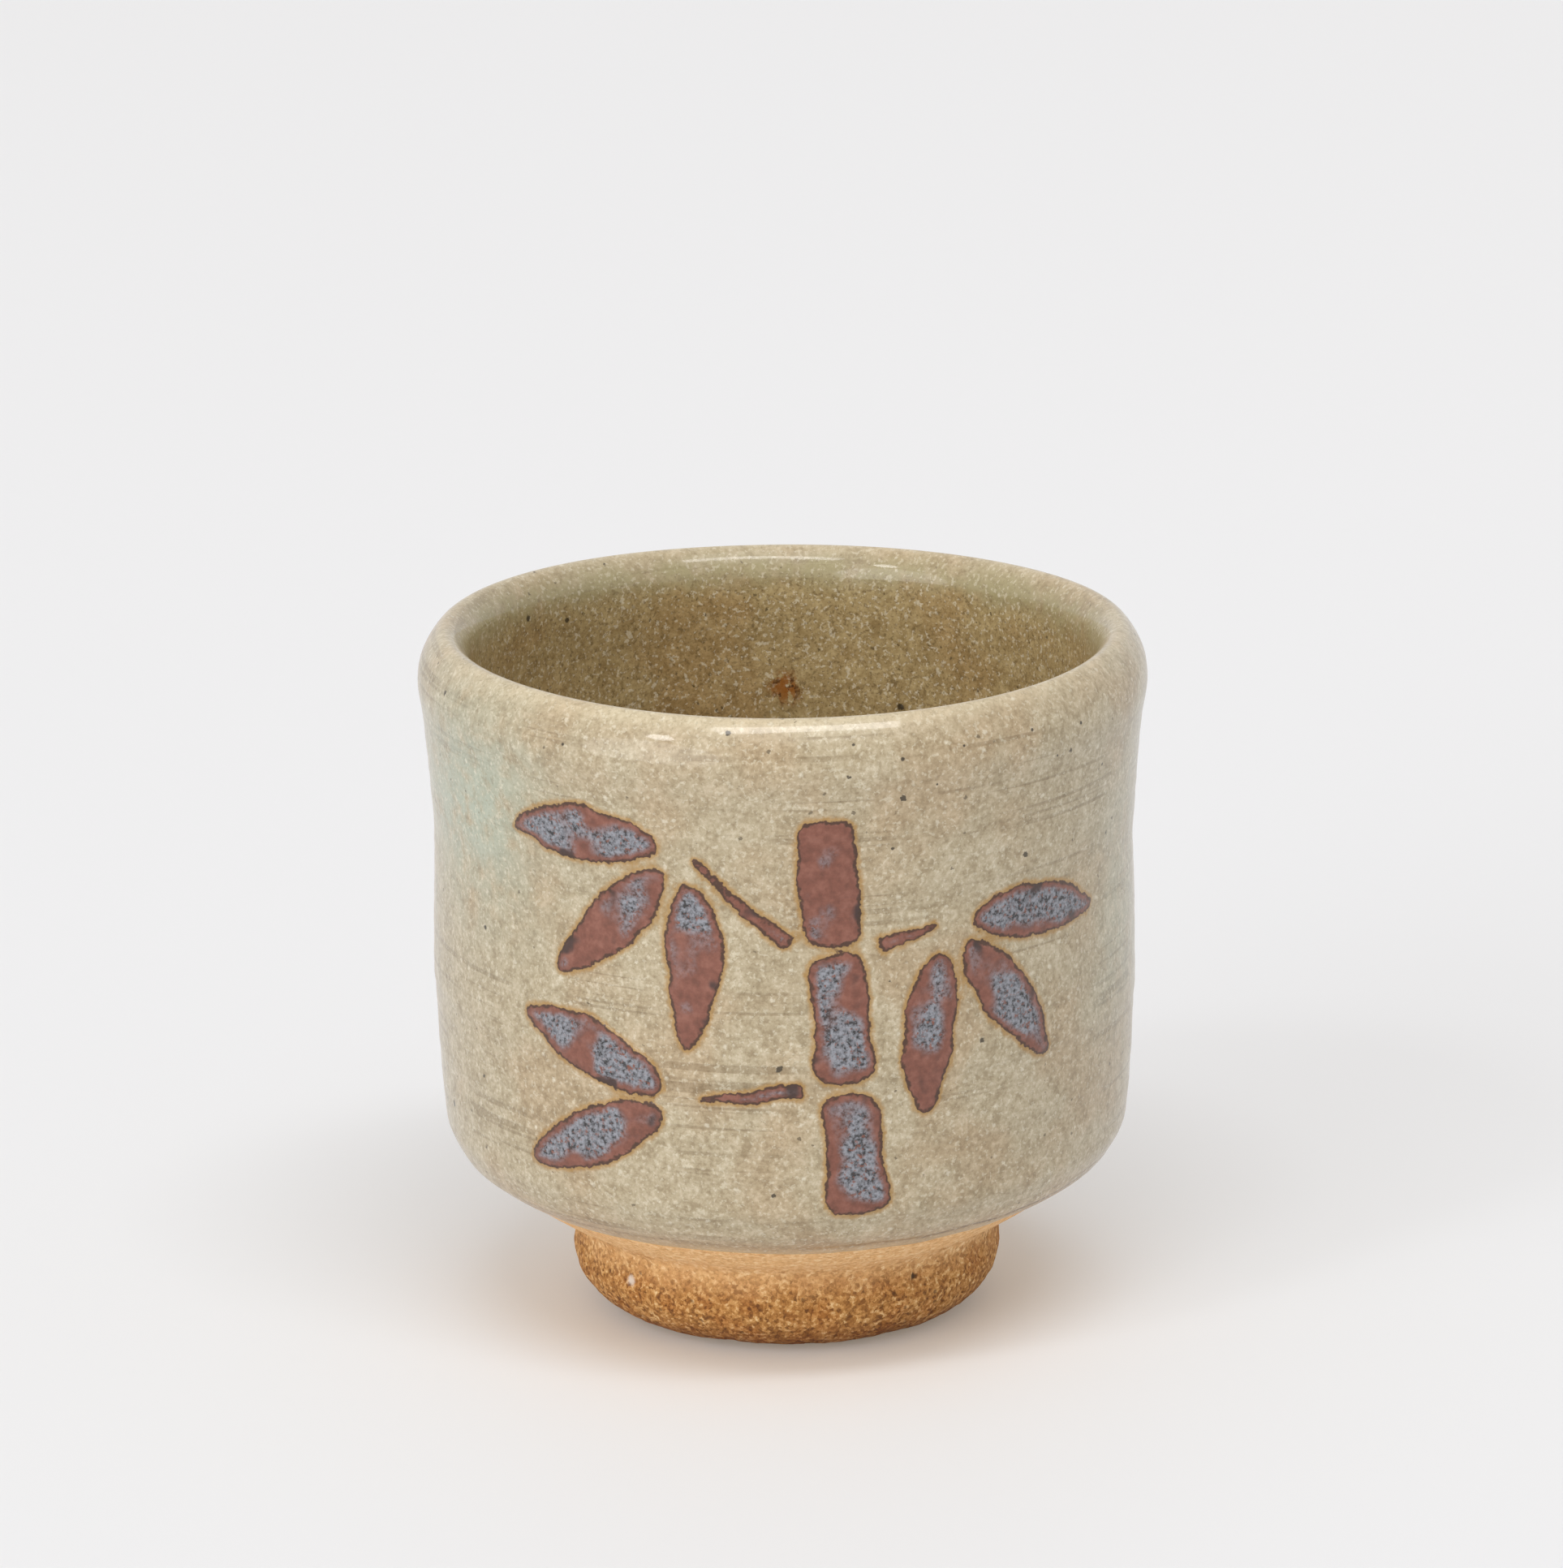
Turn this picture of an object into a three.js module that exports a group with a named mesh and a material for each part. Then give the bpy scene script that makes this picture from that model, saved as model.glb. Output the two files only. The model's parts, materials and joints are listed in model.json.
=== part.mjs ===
// Sake cup: a thrown stoneware cup on a turned foot, glazed inside and out, with bamboo brushed
// on the glaze in iron pigment. Sizes are in millimetres. +Z is up, and the origin is the centre
// of the foot, on the surface that the cup stands on.

import * as THREE from "three";

// Finished cup, over the glaze
const HEIGHT = 57.5;
const LIP_DIAMETER = 60;
const GLAZE_THICKNESS = 0.5;

// Clay lip: how far it runs in, and how far it drops, on each side of its crest. On the outside, it rolls
// over the crest within a short width, and its bevel is upright for the first part of its rise.
const LIP_OUTER_WIDTH = 1.8;
const LIP_OUTER_DROP = 3.4;
const LIP_ROLL_WIDTH = 0.3;
const LIP_UPRIGHT_RISE = 1.6;
const LIP_INNER_WIDTH = 1.3;
const LIP_INNER_DROP = 2.4;

// Outside of the clay wall: diameters, with heights above the foot or depths below the lip
const WAIST_DIAMETER = 56.9;
const WAIST_DROP = 11.6;
const BELLY_DIAMETER = 57.1;
const FLANK_DIAMETER = 55.9;
const FLANK_RISE = 10.7;
const HAUNCH_DIAMETER = 54.2;
const HAUNCH_RISE = 7.5;
const UNDERSIDE_DIAMETER = 50;
const UNDERSIDE_RISE = 5.4;

// Band of bare clay between the foot and the lower edge of the glaze
const BARE_BAND_WIDTH = 4.2;

// Inside of the clay wall
const WALL_THICKNESS = 2.3;
const FLOOR_THICKNESS = 5.8;
const FLOOR_CORNER_WIDTH = 10.5;
const FLOOR_CORNER_HEIGHT = 10.5;

// Foot
const FOOT_HEIGHT = 7.4;
const FOOT_DIAMETER = 35.6;
const FOOT_BULGE_HEIGHT = 4.7;
const NECK_DIAMETER = 34.7;
const FOOT_BORE_DIAMETER = 19;
const FOOT_TREAD_WIDTH = 3.2;
const RECESS_DEPTH = 5;
const RECESS_CORNER = 2.2;

// Brushwork: pigment that lies on the glaze
const PIGMENT_THICKNESS = 0.25;
const PIGMENT_CLEARANCE = 0.08;
const STROKE_CLEARANCE = 0.7;
const STROKE_TIP_WIDTH = 0.5;
const CULM_WIDTH = 4.8;
const CULM_JOINT_WIDTH = 5.8;
const CULM_LEAN = 3;
const CULM_OFFSET = 6;
const CULM_BASE_MARGIN = 0.8;
const CULM_TOP_MARGIN = 3.6;
const TWIG_WIDTH = 1.5;
const LEAF_LENGTH = 15.5;
const LEAF_WIDTH = 4.8;
const LEAF_STANDOFF = 1.6;
const LEAF_BOW = 0.7;
const LEAF_SPREAD_DEGREES = 45;

// Sprays of leaves on twigs: how far each hub of leaves lies to the side of its twig's root, and above
// or below it. The root is at a joint of the culm on the front, and beside the hub on the back.
const UPPER_LEFT_REACH = 12;
const UPPER_LEFT_RISE = 8;
const RIGHT_REACH = 9.5;
const RIGHT_RISE = 1.5;
const LOWER_LEFT_REACH = 13;
const LOWER_LEFT_DROP = 1.5;
const BACK_REACH = 9;
const BACK_DROP = 4;

// Number of pieces of the culm, and steps along the curves
const CULM_PIECES = 3;
const RADIAL_STEPS = 40;
const WALL_STEPS = 16;
const BARE_STEPS = 2;
const LIP_STEPS = 6;
const INSIDE_STEPS = 6;
const CORNER_STEPS = 5;
const FOOT_STEPS = 5;
const STROKE_STEPS = 10;

const clay = new THREE.MeshStandardMaterial({ color: 0xc08e5c, roughness: 0.95, metalness: 0 });
const glaze = new THREE.MeshStandardMaterial({ color: 0xbfb397, roughness: 0.35, metalness: 0 });
const pigment = new THREE.MeshStandardMaterial({ color: 0x7a4c3a, roughness: 0.5, metalness: 0 });

const cup = new THREE.Group();

function addPiece(name, geometry, material) {
  const mesh = new THREE.Mesh(geometry, material);
  mesh.name = name;
  cup.add(mesh);
}

// Solid of revolution about Z. A profile is a list of points (radius, height).
function revolve(profile) {
  const geometry = new THREE.LatheGeometry(profile, RADIAL_STEPS);
  geometry.rotateX(Math.PI / 2);
  return geometry;
}

function ring(profile) {
  return revolve([...profile, profile[0]]);
}

// Heights and radii of the clay, from the driving dimensions
const crestHeight = HEIGHT - GLAZE_THICKNESS;
const lipRadius = LIP_DIAMETER / 2 - GLAZE_THICKNESS;
const lipHeight = crestHeight - LIP_OUTER_DROP;
const crestRadius = lipRadius - LIP_OUTER_WIDTH;
const waistHeight = lipHeight - WAIST_DROP;
const flankHeight = FOOT_HEIGHT + FLANK_RISE;
const bellyHeight = (waistHeight + flankHeight) / 2;
const neckRadius = NECK_DIAMETER / 2;
const floorHeight = FOOT_HEIGHT + FLOOR_THICKNESS;
const innerFlankRadius = FLANK_DIAMETER / 2 - WALL_THICKNESS;
const cornerHeight = floorHeight + FLOOR_CORNER_HEIGHT;
const cornerRadius = innerFlankRadius - FLOOR_CORNER_WIDTH;

// Outside of the clay, from the neck of the foot up to the lip
const outside = new THREE.SplineCurve([
  new THREE.Vector2(neckRadius, FOOT_HEIGHT),
  new THREE.Vector2(UNDERSIDE_DIAMETER / 2, FOOT_HEIGHT + UNDERSIDE_RISE),
  new THREE.Vector2(HAUNCH_DIAMETER / 2, FOOT_HEIGHT + HAUNCH_RISE),
  new THREE.Vector2(FLANK_DIAMETER / 2, flankHeight),
  new THREE.Vector2(BELLY_DIAMETER / 2, bellyHeight),
  new THREE.Vector2(WAIST_DIAMETER / 2, waistHeight),
  new THREE.Vector2(lipRadius, lipHeight),
]);

// Lip: a bevel that rolls over the crest, and a quarter of an ellipse down the inside
const lipOuter = new THREE.CubicBezierCurve(
  new THREE.Vector2(lipRadius, lipHeight),
  new THREE.Vector2(lipRadius, lipHeight + LIP_UPRIGHT_RISE),
  new THREE.Vector2(crestRadius + LIP_ROLL_WIDTH, crestHeight),
  new THREE.Vector2(crestRadius, crestHeight),
);
const lipInner = new THREE.EllipseCurve(
  crestRadius, crestHeight - LIP_INNER_DROP, LIP_INNER_WIDTH, LIP_INNER_DROP, Math.PI / 2, Math.PI,
);

// Inside of the clay, from the lip down to the floor
const inside = new THREE.SplineCurve([
  new THREE.Vector2(crestRadius - LIP_INNER_WIDTH, crestHeight - LIP_INNER_DROP),
  new THREE.Vector2(WAIST_DIAMETER / 2 - WALL_THICKNESS, waistHeight),
  new THREE.Vector2(BELLY_DIAMETER / 2 - WALL_THICKNESS, bellyHeight),
  new THREE.Vector2(innerFlankRadius, cornerHeight),
]);
const floorCorner = new THREE.EllipseCurve(
  cornerRadius, cornerHeight, FLOOR_CORNER_WIDTH, FLOOR_CORNER_HEIGHT, 0, -Math.PI / 2, true,
);

// Points of a curve between two of its parameters
function stretch(curve, from, to, steps) {
  const points = [];
  for (let i = 0; i <= steps; i += 1) {
    points.push(curve.getPoint(THREE.MathUtils.lerp(from, to, i / steps)));
  }
  return points;
}

// Parameter at which the outside first reaches a radius
function parameterAtRadius(radius) {
  const searchSteps = 2000;
  for (let i = 0; i < searchSteps; i += 1) {
    if (outside.getPoint(i / searchSteps).x >= radius) {
      return i / searchSteps;
    }
  }
  return 1;
}

// Points moved off the clay by a distance, square to the line through their neighbours
function offset(points, distance) {
  return points.map((point, i) => {
    const before = points[Math.max(i - 1, 0)];
    const after = points[Math.min(i + 1, points.length - 1)];
    const along = after.clone().sub(before).normalize();
    return new THREE.Vector2(point.x + along.y * distance, point.y - along.x * distance);
  });
}

// Clay surface: the bare band, then the glazed outside, the lip, the inside and the floor
const glazeStart = parameterAtRadius(neckRadius + BARE_BAND_WIDTH);
const bareBand = stretch(outside, 0, glazeStart, BARE_STEPS).slice(0, -1);
const glazedOutside = [
  ...stretch(outside, glazeStart, 1, WALL_STEPS),
  ...lipOuter.getPoints(LIP_STEPS).slice(1),
];
const crest = glazedOutside.length - 1;
const glazedClay = [
  ...glazedOutside,
  ...lipInner.getPoints(LIP_STEPS).slice(1),
  ...inside.getPoints(INSIDE_STEPS).slice(1),
  ...floorCorner.getPoints(CORNER_STEPS).slice(1),
];
const glazeSkin = offset(glazedClay, GLAZE_THICKNESS);
const floorCentre = new THREE.Vector2(0, floorHeight);
const floorSkinCentre = new THREE.Vector2(0, floorHeight + GLAZE_THICKNESS);

addPiece(
  "cup_body",
  revolve([new THREE.Vector2(0, FOOT_HEIGHT), ...bareBand, ...glazedClay, floorCentre]),
  clay,
);

addPiece(
  "outer_glaze",
  ring([...glazeSkin.slice(0, crest + 1), ...glazedClay.slice(0, crest + 1).reverse()]),
  glaze,
);

addPiece(
  "inner_glaze",
  revolve([floorCentre, ...glazedClay.slice(crest).reverse(), ...glazeSkin.slice(crest), floorSkinCentre]),
  glaze,
);

// Foot: a turned disc that is luted to the flat base of the cup, hollowed from below
function footProfile() {
  const boreRadius = FOOT_BORE_DIAMETER / 2;
  const treadRadius = boreRadius + FOOT_TREAD_WIDTH;
  const bulgeWidth = FOOT_DIAMETER / 2 - treadRadius;
  const recessCorner = new THREE.EllipseCurve(
    boreRadius - RECESS_CORNER, RECESS_DEPTH - RECESS_CORNER,
    RECESS_CORNER, RECESS_CORNER, Math.PI / 2, 0, true,
  );
  const lowerSide = new THREE.EllipseCurve(
    treadRadius, FOOT_BULGE_HEIGHT, bulgeWidth, FOOT_BULGE_HEIGHT, -Math.PI / 2, 0,
  );
  const upperSide = new THREE.QuadraticBezierCurve(
    new THREE.Vector2(FOOT_DIAMETER / 2, FOOT_BULGE_HEIGHT),
    new THREE.Vector2(FOOT_DIAMETER / 2, (FOOT_BULGE_HEIGHT + FOOT_HEIGHT) / 2),
    new THREE.Vector2(neckRadius, FOOT_HEIGHT),
  );
  return [
    new THREE.Vector2(0, RECESS_DEPTH),
    ...recessCorner.getPoints(FOOT_STEPS),
    new THREE.Vector2(boreRadius, 0),
    ...lowerSide.getPoints(FOOT_STEPS),
    ...upperSide.getPoints(FOOT_STEPS).slice(1),
    new THREE.Vector2(0, FOOT_HEIGHT),
  ];
}

addPiece("foot", revolve(footProfile()), clay);

// Radius of the glazed outside at a height on the wall
const wallSkin = glazeSkin.slice(0, crest + 1);
function glazeRadius(height) {
  const last = wallSkin.length - 1;
  for (let i = last; i > 0; i -= 1) {
    const lower = wallSkin[i - 1];
    const upper = wallSkin[i];
    if (height >= lower.y) {
      return THREE.MathUtils.mapLinear(height, lower.y, upper.y, lower.x, upper.x);
    }
  }
  return wallSkin[0].x;
}

// A stroke is a thin ribbon that follows the glaze from one point of the unrolled wall to another.
// Its points are (distance to the right of the middle of its side, height), its line is bowed to
// the right of its run, and halfWidth gives half of its width along the run.
function brushStroke(from, to, bow, sideAngle, halfWidth) {
  const along = to.clone().sub(from).normalize();
  const middle = from.clone().lerp(to, 0.5);
  middle.x += 2 * bow * along.y;
  middle.y -= 2 * bow * along.x;
  const line = new THREE.QuadraticBezierCurve(from, middle, to);
  const geometry = new THREE.BoxGeometry(2, 1, 1, 2, STROKE_STEPS, 1);
  const position = geometry.attributes.position;
  for (let i = 0; i < position.count; i += 1) {
    const t = position.getY(i) + 0.5;
    const centre = line.getPoint(t);
    const tangent = line.getTangent(t);
    const across = position.getX(i) * halfWidth(t);
    const height = centre.y - tangent.x * across;
    const radius = glazeRadius(height);
    const angle = sideAngle + (centre.x + tangent.y * across) / radius;
    const lift = PIGMENT_CLEARANCE + (position.getZ(i) + 0.5) * PIGMENT_THICKNESS;
    position.setXYZ(i, (radius + lift) * Math.sin(angle), -(radius + lift) * Math.cos(angle), height);
  }
  geometry.computeVertexNormals();
  return geometry;
}

// A leaf swells soon after its stalk and runs out to a point
function leafHalfWidth(t) {
  const swellExponent = 0.85;
  const swell = Math.sin(Math.PI * t ** swellExponent);
  return (STROKE_TIP_WIDTH + (LEAF_WIDTH - STROKE_TIP_WIDTH) * swell) / 2;
}

// A piece of the culm widens towards its joints
function culmHalfWidth(t) {
  const flareExponent = 4;
  const flare = Math.abs(2 * t - 1) ** flareExponent;
  return (CULM_WIDTH + (CULM_JOINT_WIDTH - CULM_WIDTH) * flare) / 2;
}

// A twig thins out towards its end
function twigHalfWidth(t) {
  return (TWIG_WIDTH + (STROKE_TIP_WIDTH - TWIG_WIDTH) * t) / 2;
}

// Sprays. The tilt turns the middle leaf from straight down to the right, in degrees, and the leaves
// are counted from the middle one.
const frontSprays = [
  {
    group: "upper_left", joint: 2, tilt: -45, leaves: [-1, 0, 1],
    hub: new THREE.Vector2(-UPPER_LEFT_REACH, UPPER_LEFT_RISE),
  },
  {
    group: "right", joint: 2, tilt: 38, leaves: [-1, 0, 1],
    hub: new THREE.Vector2(RIGHT_REACH, RIGHT_RISE),
  },
  {
    group: "lower_left", joint: 1, tilt: -65, leaves: [-1, 0],
    hub: new THREE.Vector2(-LOWER_LEFT_REACH, -LOWER_LEFT_DROP),
  },
];
const backSpray = {
  group: "back", tilt: -10, leaves: [-1, 0, 1], hub: new THREE.Vector2(-BACK_REACH, -BACK_DROP),
};

// Leaves fan out downwards from the hub of a spray, either side of its middle leaf
function addLeaves(spray, hub, sideAngle) {
  spray.leaves.forEach((place, i) => {
    const angle = THREE.MathUtils.degToRad(spray.tilt + place * LEAF_SPREAD_DEGREES);
    const way = new THREE.Vector2(Math.sin(angle), -Math.cos(angle));
    const from = hub.clone().addScaledVector(way, LEAF_STANDOFF);
    const to = from.clone().addScaledVector(way, LEAF_LENGTH);
    const leaf = brushStroke(from, to, -place * LEAF_BOW, sideAngle, leafHalfWidth);
    addPiece(`${spray.group}_leaf_${i + 1}`, leaf, pigment);
  });
}

// A spray's twig runs from the edge of its root to the hub of its leaves, clear of both
function addSpray(spray, root, rootWidth, sideAngle) {
  const hub = root.clone().add(spray.hub);
  const edge = root.clone();
  edge.x += Math.sign(spray.hub.x) * rootWidth / 2;
  const along = hub.clone().sub(edge).normalize();
  const from = edge.addScaledVector(along, STROKE_CLEARANCE);
  const to = hub.clone().addScaledVector(along, -STROKE_CLEARANCE);
  addPiece(`${spray.group}_twig`, brushStroke(from, to, 0, sideAngle, twigHalfWidth), pigment);
  addLeaves(spray, hub, sideAngle);
}

// Culm of the bamboo on the front, in pieces from its base to its top
const culmBase = new THREE.Vector2(CULM_OFFSET, FOOT_HEIGHT + HAUNCH_RISE + CULM_BASE_MARGIN);
const culmTop = new THREE.Vector2(CULM_OFFSET - CULM_LEAN, lipHeight - CULM_TOP_MARGIN);

function culmPoint(piece) {
  return culmBase.clone().lerp(culmTop, piece / CULM_PIECES);
}

const culmGap = culmTop.clone().sub(culmBase).setLength(STROKE_CLEARANCE / 2);
for (let i = 0; i < CULM_PIECES; i += 1) {
  const from = culmPoint(i).add(culmGap);
  const to = culmPoint(i + 1).sub(culmGap);
  addPiece(`culm_${i + 1}`, brushStroke(from, to, 0, 0, culmHalfWidth), pigment);
}

for (const spray of frontSprays) {
  addSpray(spray, culmPoint(spray.joint), CULM_JOINT_WIDTH, 0);
}

// The twig of the spray on the back starts level with the top of the culm, and its hub is in the middle
addSpray(backSpray, new THREE.Vector2(BACK_REACH, culmTop.y), 0, Math.PI);

export default cup;
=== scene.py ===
import json
import math

import bpy
import numpy as np
from mathutils import Euler, Matrix


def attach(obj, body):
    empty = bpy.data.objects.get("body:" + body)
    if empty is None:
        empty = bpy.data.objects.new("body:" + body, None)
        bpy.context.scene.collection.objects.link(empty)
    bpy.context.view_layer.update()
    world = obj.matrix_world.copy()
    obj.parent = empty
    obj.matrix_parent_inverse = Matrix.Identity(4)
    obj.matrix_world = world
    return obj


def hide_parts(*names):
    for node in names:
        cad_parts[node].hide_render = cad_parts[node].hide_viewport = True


# Looks of the sake cup: speckled glaze with iron brushwork, on a turned foot of bare clay.
# Sizes are in millimetres. Azimuths run to the right of the front, which faces -Y.
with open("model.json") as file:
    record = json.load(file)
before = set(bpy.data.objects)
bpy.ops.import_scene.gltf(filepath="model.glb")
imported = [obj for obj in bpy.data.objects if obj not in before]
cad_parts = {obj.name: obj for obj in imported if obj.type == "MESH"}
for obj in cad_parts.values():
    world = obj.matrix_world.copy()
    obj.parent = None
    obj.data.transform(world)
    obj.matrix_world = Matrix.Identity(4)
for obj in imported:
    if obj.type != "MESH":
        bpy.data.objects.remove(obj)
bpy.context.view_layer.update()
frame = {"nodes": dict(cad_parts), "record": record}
MM = 0.001

# Camera, from the photograph's perspective
FRAME_HEIGHT_PX = 1932
FOCAL_LENGTH_PX = 9719
AXIS_RIGHT_OF_CENTRE_PX = 2.4
CAMERA_DISTANCE = 650
CAMERA_ELEVATION = 16.12
CAMERA_ROLL = -0.45
CAMERA_TARGET_HEIGHT = 44.07
SENSOR_HEIGHT = 36

# Density of the meshes: columns round the axis, and steps along the outlines
COAT_COLUMNS = 400
COAT_STEP = 0.42
EDGE_STEP = 0.13
CREST_STEP = 0.15
CLAY_COLUMNS = 480
CLAY_STEP = 0.24
HIDDEN_STEP = 2.5
STROKE_STEP = 0.3

# Glaze: the width over which its lower edge thins out, how far up the wall the edge's waves reach, and how
# far the back of the coat lies inside the clay
EDGE_FEATHER = 2.6
EDGE_REACH = 7
COAT_BURIAL = 0.15

# Places of rows near the crest of the lip and near a pole, as distances along the outline
BELOW_CREST = 2.5
CREST_REACH = 2.4
PAST_CREST = 2.6
POLE_GAP = 0.3

# Rim: how much higher it is at the sides than at the front and back, and the height where that starts
RIM_WAVE = 0.36
RIM_WAVE_START = 42

# Bare clay: the rounding of its edges and of the corner between the foot and the body, how far above that
# corner the clay is finely made, how far it swells there, and how deep it lies under the glaze
EDGE_WEAR = 0.6
NECK_FILLET = 1.2
BARE_REACH = 13
BARE_SWELL = 0.33
CLAY_BURIAL = 0.1

# Brushwork: how far a stroke's piece runs past its outline, how high the pigment stands, how far the
# piece's rim and its back lie inside the glaze, how far out distances to strokes are known, and how close
# strokes run together
STROKE_MARGIN = 0.5
STROKE_RELIEF = 0.07
STROKE_DIP = 0.04
STROKE_BURIAL = 0.3
STROKE_FIELD = 4
STROKE_MERGING = 0.25

# A brushed edge: how far it sways and over what length, and the rounds of smoothing of its corners for a
# stroke of breadth 1, which grow with the square of the breadth
SWAY = 0.28
SWAY_SIZE = 2.6
SOFTENING = 22

# Marks in the glaze, as (azimuth in degrees, height, radius): iron flecks outside and inside, and a rust spot
OUTER_FLECKS = (
    (-21.6, 26, 0.3), (18.3, 54.2, 0.22), (10.8, 55.6, 0.16), (-35.7, 54.4, 0.17), (47, 52, 0.15),
    (41.6, 54.7, 0.17), (52.7, 54, 0.2), (28.6, 54.6, 0.15), (23.9, 51.8, 0.13), (60.3, 49.6, 0.17),
    (-56.9, 36.8, 0.24),
)
INNER_FLECKS = ((-124, 54.3, 0.36), (-135, 53.2, 0.32), (157, 44, 0.4))
RUST_SPOT = (179.4, 45.2, 2.1)

# A grain of quartz and a pit in the foot, in the same way as the marks in the glaze
QUARTZ_GRAIN = (-46.5, 5.2, 0.65)
FOOT_PIT = (35.9, 6.1, 0.4)

# Stage: half the width of the floor, how far away the softbox is, and the share of a faint glow in what the
# camera and the gloss see of the paper
FLOOR_HALF_WIDTH = 3000
SOFTBOX_DISTANCE = 3000
PAPER_GLOW = 0.2

# Added to the places of noise, so that its cells have positive numbers
NOISE_OFFSET = 1000


# Noise and blends for the shapes

def lattice(ix, iy, iz, seed):
    """A fixed number from 0 to 1 for each whole point of a grid."""
    n = ix * 73856093 + iy * 19349663 + iz * 83492791 + seed * 2654435761
    n = ((n ^ (n >> 13)) * 1274126177) & 0x7FFFFFFF
    return ((n ^ (n >> 15)) & 0xFFFF) / 0xFFFF


def noise(points, size, seed):
    """Smooth noise from -1 to 1 at points in space, with lumps of about the given size."""
    place = np.asarray(points, float) / size + NOISE_OFFSET
    cell = np.floor(place).astype(np.int64)
    f = place - cell
    f = f * f * (3 - 2 * f)
    total = np.zeros(len(place))
    for corner in np.ndindex(2, 2, 2):
        weight = np.prod(np.abs(1 - np.array(corner) - f), 1)
        total += weight * lattice(*(cell + corner).T, seed)
    return 2 * total - 1


def noise_along(values, size, seed):
    """Smooth noise from -1 to 1 along a line."""
    values = np.asarray(values, float)
    return noise(np.stack([values, 0 * values, 0 * values], 1), size, seed)


def smooth_step(x, low, high):
    """0 at low and 1 at high, with a smooth rise between them."""
    t = np.clip((np.asarray(x, float) - low) / (high - low), 0, 1)
    return t * t * (3 - 2 * t)


def hump(x, centre, width):
    """A smooth hump of height 1."""
    return np.exp(-((np.asarray(x, float) - centre) / width) ** 2)


# Outlines of the turned nodes, as points (radius, height)

def outline(node):
    """A turned node's outline in order, from the edges in its front half-plane."""
    mesh = frame["nodes"][node].data
    near = 0.002
    places = {}
    for vertex in mesh.vertices:
        x, y, z = vertex.co / MM
        if abs(x) < near and y < near:
            places[vertex.index] = (round(-y, 2) + 0.0, round(z, 2))
    neighbours = {}
    for edge in mesh.edges:
        a, b = (places.get(i) for i in edge.vertices)
        if a is not None and b is not None and a != b:
            neighbours.setdefault(a, set()).add(b)
            neighbours.setdefault(b, set()).add(a)
    ends = sorted(p for p, others in neighbours.items() if len(others) == 1)
    path = [ends[0] if ends else min(neighbours)]
    while ways := sorted(p for p in neighbours[path[-1]] if p not in path):
        path.append(ways[0])
    return np.array(path)


def arc_length(path):
    """Length from the start of an outline to each of its points."""
    return np.concatenate([[0], np.cumsum(np.hypot(*np.diff(path, axis=0).T))])


def curve_through(path, step):
    """Points at even steps on a smooth curve through an outline's points."""
    knots = arc_length(path)
    slopes = np.gradient(path, knots, axis=0)
    fine = np.linspace(0, knots[-1], int(knots[-1] / step) + 1)
    i = np.clip(np.searchsorted(knots, fine, side="right") - 1, 0, len(knots) - 2)
    span = (knots[i + 1] - knots[i])[:, None]
    t = (fine - knots[i])[:, None] / span
    return (
        (2 * t**3 - 3 * t**2 + 1) * path[i] + (t**3 - 2 * t**2 + t) * span * slopes[i]
        + (3 * t**2 - 2 * t**3) * path[i + 1] + (t**3 - t**2) * span * slopes[i + 1]
    )


def rounded(path, step, radius):
    """Points at even steps on an outline whose corners are rounded."""
    knots = arc_length(path)
    fine = np.linspace(0, knots[-1], int(knots[-1] / step) + 1)
    points = np.stack([np.interp(fine, knots, path[:, k]) for k in (0, 1)], 1)
    reach = max(1, round(2 * radius / step))
    weights = np.exp(-np.linspace(-2, 2, 2 * reach + 1) ** 2)
    weights /= weights.sum()
    before = 2 * points[0] - points[reach:0:-1]
    after = 2 * points[-1] - points[-2:-reach - 2:-1]
    padded = np.concatenate([before, points, after])
    return np.stack([np.convolve(padded[:, k], weights, "valid") for k in (0, 1)], 1)


def outward(path):
    """Directions square to an outline, to the right of its run."""
    along = np.gradient(path, axis=0)
    along /= np.hypot(*along.T)[:, None]
    return np.stack([along[:, 1], -along[:, 0]], 1)


class Skin:
    """A turned surface: an outline with the length along it, that can be asked for points."""

    def __init__(self, path):
        self.path = path
        self.length = arc_length(path)
        self.out = outward(path)

    def at(self, length, values):
        """Values of the outline's points, read between them at lengths."""
        return np.interp(length, self.length, values)

    def radius(self, length):
        """Radii of the outline at lengths."""
        return self.at(length, self.path[:, 0])

    def height(self, length):
        """Heights of the outline at lengths."""
        return self.at(length, self.path[:, 1])

    def points(self, length, azimuth, lift):
        """Points in space at lengths and azimuths, lifted off the surface."""
        radius = self.radius(length) + lift * self.at(length, self.out[:, 0])
        height = self.height(length) + lift * self.at(length, self.out[:, 1])
        return to_space(radius, height, azimuth)


def to_space(radius, height, azimuth):
    """Points in space at radii, heights and azimuths."""
    radius, height, azimuth = np.broadcast_arrays(radius, height, azimuth)
    return np.stack([radius * np.sin(azimuth), -radius * np.cos(azimuth), height], -1)


def azimuth_of(points):
    """Azimuths of points in space."""
    return np.arctan2(points[:, 0], -points[:, 1])


def turn(columns):
    """The azimuths of a full turn of columns."""
    return np.linspace(-math.pi, math.pi, columns, endpoint=False)


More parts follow.
